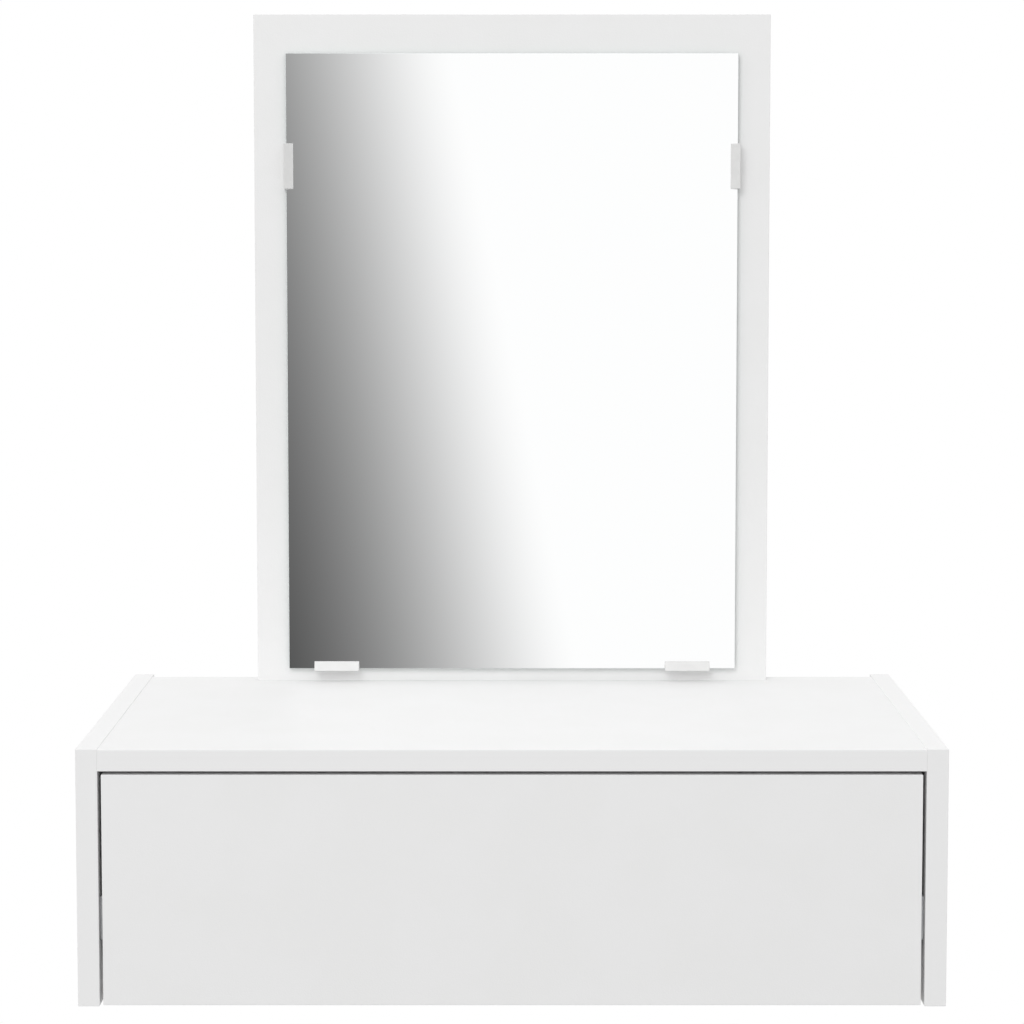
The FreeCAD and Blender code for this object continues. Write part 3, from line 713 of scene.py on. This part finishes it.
class Seat:
    """Where a CAD screw sits, and its sizes.

    point lies under a pan head or in the face of a sunk one, way is the screw's way in, and length
    runs from point to the tip.
    """

    def __init__(self, corners):
        low = Vector(map(min, *corners))
        high = Vector(map(max, *corners))
        middle = (low + high) / 2
        size = high - low
        axis = max(range(len(AXES)), key=lambda n: size[n])
        way = Vector((0, 0, 0))
        way[axis] = 1.0
        radii = [((corner - middle) - way * (corner - middle).dot(way)).length for corner in corners]
        self.head_radius = max(radii)
        least = RIM_SHARE * self.head_radius
        rim = [corner for corner, radius in zip(corners, radii) if radius > least]
        if sum(corner[axis] for corner in rim) / len(rim) > middle[axis]:
            way.negate()
        seat = max(corner.dot(way) for corner in rim)
        tip = max(corner.dot(way) for corner in corners)
        self.way = way
        self.length = tip - seat
        self.point = middle + way * (seat - middle.dot(way))


def lifted(graph, mesh, height):
    """Mesh moved up along the screw."""
    lift = graph.node("ShaderNodeCombineXYZ", None, {"Z": height})
    return graph.node("GeometryNodeTransform", None, {"Geometry": mesh, "Translation": lift})


def cone(graph, sides, low, low_radius, height, high_radius):
    """Closed frustum that starts at height low and runs up."""
    sizes = {"Vertices": sides, "Radius Bottom": low_radius, "Radius Top": high_radius, "Depth": height}
    return lifted(graph, graph.node("GeometryNodeMeshCone", None, sizes, "Mesh"), low)


def cut_cross(graph, size, head, face):
    """Head with a driver cross, whose two bars lie half in and half above its face."""
    long, wide = size["Cross length"], size["Cross width"]
    high = size["Cross depth"] * 2.0
    bars = []
    for x, y in ((long, wide), (wide, long)):
        bar = graph.node("ShaderNodeCombineXYZ", None, {"X": x, "Y": y, "Z": high})
        bars.append(lifted(graph, graph.node("GeometryNodeMeshCube", None, {"Size": bar}), face))
    cut = {"Mesh 1": head, "Mesh 2": bars}
    return graph.node("GeometryNodeMeshBoolean", {"operation": "DIFFERENCE"}, cut)


def sunk_head(graph, size):
    """Head that tapers from a face at the seat to the shank."""
    head = cone(graph, size["Sides"], 0.0, size["Head radius"], size["Head height"], size["Shank radius"])
    return [cut_cross(graph, size, head, 0.0)]


def pan_head(graph, size):
    """Head on the seat, with a straight rim below and a crown above."""
    sides, radius = size["Sides"], size["Head radius"]
    rim = cone(graph, sides, -size["Rim"], radius, size["Rim"], radius)
    face = -size["Head height"]
    height = size["Head height"] - size["Rim"]
    crown = cone(graph, sides, face, size["Crown radius"], height, radius)
    return [rim, cut_cross(graph, size, crown, face)]


def screw_core(graph, size):
    """Core of the shank and its pointed tip."""
    radius = size["Shank radius"] - size["Thread depth"] * CORE_DROP
    straight = size["Length"] - size["Shank radius"]
    return [
        cone(graph, size["Sides"], 0.0, radius, straight, radius),
        cone(graph, size["Sides"], straight, radius, size["Shank radius"], 0.0),
    ]


def screw_thread(graph, size):
    """Triangular thread wound round the core."""
    radius = size["Shank radius"] - size["Thread depth"]
    run = size["Length"] - size["Shank radius"] - size["Head height"]
    turns = {
        "Resolution": TURN_POINTS,
        "Rotations": run / size["Thread pitch"],
        "Start Radius": radius,
        "End Radius": radius,
        "Height": run,
    }
    spiral = graph.node("GeometryNodeCurveSpiral", None, turns)
    section = {"Resolution": THREAD_CORNERS, "Radius": size["Thread depth"]}
    section = graph.node("GeometryNodeCurvePrimitiveCircle", None, section)
    sweep = {"Curve": spiral, "Profile Curve": section, "Fill Caps": True}
    return lifted(graph, graph.node("GeometryNodeCurveToMesh", None, sweep), size["Head height"])


def screw_inputs(graph):
    """Give a screw tree its inputs and output, and return a wire from each input."""
    sockets = graph.tree.interface
    sockets.new_socket("Seats", in_out="INPUT", socket_type="NodeSocketGeometry")
    for label in SCREW_INPUTS:
        sockets.new_socket(label, in_out="INPUT", socket_type="NodeSocketFloat")
    sockets.new_socket("Sides", in_out="INPUT", socket_type="NodeSocketInt")
    sockets.new_socket("Finish", in_out="INPUT", socket_type="NodeSocketMaterial")
    sockets.new_socket("Screws", in_out="OUTPUT", socket_type="NodeSocketGeometry")
    given = graph.tree.nodes.new("NodeGroupInput")
    return {socket.name: Wire(graph, socket) for socket in given.outputs if socket.name}


def screw_tree(name, make_head):
    """Geometry nodes that put a cross-head screw on each seat, driven along the seat's way."""
    tree = bpy.data.node_groups.new(name, "GeometryNodeTree")
    graph = Graph(tree)
    size = screw_inputs(graph)
    pieces = [*screw_core(graph, size), screw_thread(graph, size), *make_head(graph, size)]
    screw = graph.node("GeometryNodeJoinGeometry", None, {"Geometry": pieces})
    way = graph.node("GeometryNodeInputNamedAttribute", {"data_type": "FLOAT_VECTOR"}, {"Name": "way"})
    turn = graph.node("FunctionNodeAlignRotationToVector", {"axis": "Z"}, {"Vector": way})
    seats = {"Points": size["Seats"], "Instance": screw, "Rotation": turn}
    placed = graph.node("GeometryNodeInstanceOnPoints", None, seats)
    real = graph.node("GeometryNodeRealizeInstances", None, {"Geometry": placed})
    finish = {"Geometry": real, "Material": size["Finish"]}
    finished = graph.node("GeometryNodeSetMaterial", None, finish)
    graph.node("NodeGroupOutput", None, {"Screws": finished})
    return tree


def set_inputs(modifier, values):
    for socket in modifier.node_group.interface.items_tree:
        if socket.name in values:
            modifier[socket.identifier] = values[socket.name]


def keep_mesh(piece):
    """Turn a piece with its modifiers into a plain mesh with outward, smooth faces."""
    ready = piece.evaluated_get(bpy.context.evaluated_depsgraph_get())
    made = bpy.data.meshes.new_from_object(ready)
    piece.modifiers.clear()
    piece.data = made
    shell = bmesh.new()
    shell.from_mesh(made)
    bmesh.ops.recalc_face_normals(shell, faces=shell.faces)
    shell.to_mesh(made)
    shell.free()
    made.shade_smooth()
    made.set_sharp_from_angle(angle=SHARP_ANGLE)


def screw_group(node, tree, sizes, finish):
    """Detailed screws in place of a CAD node of plain ones."""
    seats = [Seat(corners) for corners in loose_solids(node)]
    mesh = bpy.data.meshes.new(node + "_cross_head")
    mesh.from_pydata([seat.point for seat in seats], [], [])
    ways = mesh.attributes.new("way", "FLOAT_VECTOR", "POINT")
    for entry, seat in zip(ways.data, seats):
        entry.vector = seat.way
    piece = bpy.data.objects.new(node + "_cross_head", mesh)
    bpy.context.scene.collection.objects.link(piece)
    modifier = piece.modifiers.new("screws", "NODES")
    modifier.node_group = tree
    values = {
        "Head radius": seats[0].head_radius,
        "Shank radius": seats[0].head_radius * sizes.shank,
        "Length": seats[0].length,
        "Crown radius": sizes.crown,
        "Rim": sizes.rim,
        "Head height": sizes.head,
        "Cross length": sizes.cross_length,
        "Cross width": sizes.cross_width,
        "Cross depth": sizes.cross_depth,
        "Thread depth": sizes.thread_depth,
        "Thread pitch": sizes.thread_pitch,
        "Sides": sizes.sides,
        "Finish": finish,
    }
    set_inputs(modifier, values)
    keep_mesh(piece)
    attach(piece, frame["nodes"][node]["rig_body"])
    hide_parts(node)


# Rays that show the surroundings: from the camera, or by way of a mirror or glass
SHOWING_RAYS = ("Is Camera Ray", "Is Glossy Ray", "Is Transmission Ray")


def flat_sheet(name, corners, material):
    """Sheet of one face that belongs to the stage."""
    mesh = bpy.data.meshes.new(name)
    mesh.from_pydata(corners, [], [tuple(range(len(corners)))])
    mesh.materials.append(material)
    sheet = bpy.data.objects.new(name, mesh)
    bpy.context.scene.collection.objects.link(sheet)
    return sheet


def seen_directly(graph):
    """1 for rays that show the surroundings, 0 for those that only light the table."""
    camera, glossy, through = (graph.node("ShaderNodeLightPath", output=ray) for ray in SHOWING_RAYS)
    return graph.most(graph.most(camera, glossy), through)


def light_surroundings(studio):
    """Even light from all round, which is seen as plain white."""
    world = bpy.context.scene.world or bpy.data.worlds.new("studio")
    bpy.context.scene.world = world
    world.use_nodes = True
    graph = Graph(world.node_tree)
    soft = graph.node("ShaderNodeBackground", None, {"Color": WHITE, "Strength": studio.ambient})
    white = graph.node("ShaderNodeBackground", None, {"Color": WHITE, "Strength": 1.0})
    shown = graph.node("ShaderNodeMixShader", None, {0: seen_directly(graph), 1: soft, 2: white})
    graph.output(shown, "ShaderNodeOutputWorld")


def lay_floor(studio):
    """Pale floor that takes the table's shadow and runs out to white."""
    material, graph = new_material("pale_floor")
    flat = graph.scaled(graph.place(), (1.0, 1.0, 0.0))
    reach = graph.node("ShaderNodeVectorMath", {"operation": "LENGTH"}, {0: flat}, "Value")
    far = graph.ease(reach, studio.floor_near, studio.floor_far)
    matt = graph.node("ShaderNodeBsdfDiffuse", None, {"Color": opaque(studio.floor_colour)})
    white = graph.node("ShaderNodeEmission", None, {"Color": WHITE, "Strength": 1.0})
    factor = seen_directly(graph) * (studio.floor_glow + far * (1.0 - studio.floor_glow))
    graph.output(graph.node("ShaderNodeMixShader", None, {0: factor, 1: matt, 2: white}))
    half = studio.floor_side / 2
    level = LOW.z - studio.floor_drop
    corners = [(-half, -half, level), (half, -half, level), (half, half, level), (-half, half, level)]
    flat_sheet("floor", corners, material)


def show_in_mirrors(sheet):
    """Hide a sheet from all but glossy rays."""
    sheet.visible_camera = False
    sheet.visible_diffuse = False
    sheet.visible_transmission = False
    sheet.visible_volume_scatter = False
    sheet.visible_shadow = False


def hang_card(studio, lean):
    """Glowing card that paints the mirror's reflection: painted grey on the left, white past a slanting
    line.

    What a place on the mirror shows lies grow times as far from the middle on the card.
    """
    low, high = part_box("mirror_glass")
    eye_reach = low.y - (LOW.y - studio.camera_reach)
    grow = (eye_reach + studio.card_reach) / eye_reach
    eye = LOW.z + studio.camera_height
    middle = eye + studio.card_reach * math.tan(2 * lean)
    slant = (studio.fade_foot - studio.fade_top) / (high.z - low.z)
    material, graph = new_material("painted_reflection_card")
    place = graph.place()
    across = graph.part(place, "X") / grow
    rise = (graph.part(place, "Z") - middle) / grow + eye
    line = studio.fade_top + (high.z - rise) * slant
    depth = graph.most(line - across, 0.0) / studio.fade_width
    # Painted grey of the mirror's reflection: the card glows at this grey, and only glossy rays see it.
    grey = math.e ** -(depth**studio.fade_power)
    graph.output(graph.node("ShaderNodeEmission", None, {"Color": grey, "Strength": 1.0}))
    left = (low.x - studio.card_margin) * grow
    right = (high.x + studio.card_margin) * grow
    foot = (low.z - studio.card_margin - eye) * grow + middle
    top = (high.z + studio.card_margin - eye) * grow + middle
    y = low.y - studio.card_reach
    corners = [(left, y, foot), (right, y, foot), (right, y, top), (left, y, top)]
    show_in_mirrors(flat_sheet("painted_reflection_card", corners, material))


def stand_flags(studio):
    """Glowing flags at both sides that paint reflections in mirrors and metal: painted grey at the rear,
    white towards the front.
    """
    low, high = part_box("mirror_glass")
    near = low.y - studio.flag_near
    far = low.y - studio.flag_far
    material, graph = new_material("painted_reflection_flag")
    turn = graph.ease(graph.part(graph.place(), "Y"), near, far)
    # Painted reflection: the flags glow grey at the rear and white towards the front, and only glossy
    # rays see them.
    paint = graph.mix(turn, opaque(studio.flag_grey), WHITE)
    graph.output(graph.node("ShaderNodeEmission", None, {"Color": paint, "Strength": 1.0}))
    foot = LOW.z - studio.floor_drop
    top = foot + studio.flag_height
    rear = low.y + studio.flag_rear
    middle = (low.x + high.x) / 2
    for name, x in (("left", middle - studio.flag_reach), ("right", middle + studio.flag_reach)):
        corners = [(x, rear, foot), (x, far, foot), (x, far, top), (x, rear, top)]
        show_in_mirrors(flat_sheet("painted_reflection_flag_" + name, corners, material))


def hang_key(studio):
    """Square lamp that faces the middle of the table."""
    lamp = bpy.data.lights.new("key_lamp", "AREA")
    lamp.shape = "SQUARE"
    lamp.size = studio.key_side
    lamp.energy = studio.key_power
    holder = bpy.data.objects.new("key_lamp", lamp)
    bpy.context.scene.collection.objects.link(holder)
    middle = (LOW + HIGH) / 2
    place = middle + studio.key_way * studio.key_reach
    holder.location = place
    holder.rotation_euler = (middle - place).to_track_quat("-Z", "Y").to_euler()


def set_camera(studio):
    lens = bpy.data.cameras.new("camera")
    lens.lens = studio.lens
    lens.sensor_width = studio.sensor
    lens.shift_y = studio.camera_shift
    camera = bpy.data.objects.new("camera", lens)
    bpy.context.scene.collection.objects.link(camera)
    middle = (LOW.x + HIGH.x) / 2
    camera.location = (middle, LOW.y - studio.camera_reach, LOW.z + studio.camera_height)
    camera.rotation_euler = (math.pi / 2 - studio.camera_pitch, 0.0, 0.0)
    bpy.context.scene.camera = camera


class DressBoards(bpy.types.Operator):
    """Give the boards their white faces and banded edges"""

    bl_idname = "dressing_table.dress_boards"
    bl_label = "Dress the boards"

    def execute(self, context):
        look = context.scene.dressing_table.board
        for axis, nodes in BOARDS.items():
            dress(faced_board("white_board_" + axis.lower(), look, axis), *nodes)
        dress(faced_board("white_board_drilled", look, "Y", wall_hole_mask), "back_panel")
        return {"FINISHED"}


class DressDrawerBottom(bpy.types.Operator):
    """Give the drawer bottom its lacquer and its bare underside"""

    bl_idname = "dressing_table.dress_drawer_bottom"
    bl_label = "Dress the drawer bottom"

    def execute(self, context):
        dress(hardboard(context.scene.dressing_table.board), "drawer_bottom")
        return {"FINISHED"}


class DressMirror(bpy.types.Operator):
    """Silver the mirror and give its clips their plastic"""

    bl_idname = "dressing_table.dress_mirror"
    bl_label = "Dress the mirror and its clips"

    def execute(self, context):
        table = context.scene.dressing_table
        dress(silvered_glass(table.mirror), "mirror_glass")
        dress(clip_plastic(table.clip), *CLIPS)
        return {"FINISHED"}


class DressSlides(bpy.types.Operator):
    """Plate the slides and their cages and polish their balls"""

    bl_idname = "dressing_table.dress_slides"
    bl_label = "Dress the ball slides"

    def execute(self, context):
        table = context.scene.dressing_table
        look = table.plating
        dress(plated_sheet("plated_slide", look, look.patches), *MEMBERS)
        dress(plated_sheet("plated_cage", look, look.patches, look.cage_tint), *CAGES)
        dress(polished_ball(table.ball), *BALLS)
        return {"FINISHED"}


class DressFittings(bpy.types.Operator):
    """Finish the cam fittings, the dowels and the brace plates"""

    bl_idname = "dressing_table.dress_fittings"
    bl_label = "Dress the fittings"

    def execute(self, context):
        table = context.scene.dressing_table
        look = table.plating
        dress(plated_sheet("plated_bolt", look, look.patches), *BOLTS)
        dress(plated_sheet("plated_brace", look, look.brace_patches), *PLATES)
        dress(cast_zinc(table.cam), *CAMS)
        for axis, node in DOWELS.items():
            dress(beech(table.dowel, axis), node)
        return {"FINISHED"}


class MakeScrews(bpy.types.Operator):
    """Make cross-head screws with threads in place of the plain ones"""

    bl_idname = "dressing_table.make_screws"
    bl_label = "Make the screws"

    def execute(self, context):
        table = context.scene.dressing_table
        look = table.plating
        finish = plated_sheet("plated_screw", look, look.patches, look.screw_tint)
        pan = screw_tree("pan_head_screws", pan_head)
        sunk = screw_tree("sunk_head_screws", sunk_head)
        for tree, nodes in ((pan, PAN_SCREWS), (sunk, SUNK_SCREWS)):
            for node in nodes:
                screw_group(node, tree, table.screw, finish)
        return {"FINISHED"}


class SetStage(bpy.types.Operator):
    """Set up the light, the floor, the card and flags that the mirror shows, and the camera"""

    bl_idname = "dressing_table.set_stage"
    bl_label = "Set the stage"

    def execute(self, context):
        table = context.scene.dressing_table
        context.scene.view_settings.view_transform = "Standard"
        light_surroundings(table.studio)
        lay_floor(table.studio)
        hang_card(table.studio, table.mirror.lean)
        stand_flags(table.studio)
        hang_key(table.studio)
        set_camera(table.studio)
        return {"FINISHED"}


class DressingTablePanel(bpy.types.Panel):
    """Steps and settings of the dressing table"""

    bl_idname = "VIEW3D_PT_dressing_table"
    bl_label = "Dressing table"
    bl_space_type = "VIEW_3D"
    bl_region_type = "UI"
    bl_category = "Dressing table"

    def draw(self, context):
        for operator in OPERATORS:
            self.layout.operator(operator.bl_idname)
        table = context.scene.dressing_table
        for part in DressingTable.__annotations__:
            group = getattr(table, part)
            box = self.layout.box()
            for setting in group.__annotations__:
                box.prop(group, setting)


FINISHES = (BoardFinish, MirrorFinish, ClipFinish, PlatingFinish, CamFinish, BallFinish, DowelFinish)
GROUPS = (*FINISHES, ScrewSizes, Studio, DressingTable)
DRESSING = (DressBoards, DressDrawerBottom, DressMirror, DressSlides, DressFittings)
OPERATORS = (*DRESSING, MakeScrews, SetStage)
CLASSES = (*GROUPS, *OPERATORS, DressingTablePanel)


def register():
    for each in CLASSES:
        bpy.utils.register_class(each)
    bpy.types.Scene.dressing_table = PointerProperty(type=DressingTable)


def unregister():
    del bpy.types.Scene.dressing_table
    for each in reversed(CLASSES):
        bpy.utils.unregister_class(each)


def main():
    register()
    bpy.ops.dressing_table.dress_boards()
    bpy.ops.dressing_table.dress_drawer_bottom()
    bpy.ops.dressing_table.dress_mirror()
    bpy.ops.dressing_table.dress_slides()
    bpy.ops.dressing_table.dress_fittings()
    bpy.ops.dressing_table.make_screws()
    bpy.ops.dressing_table.set_stage()


if __name__ == "__main__":
    main()
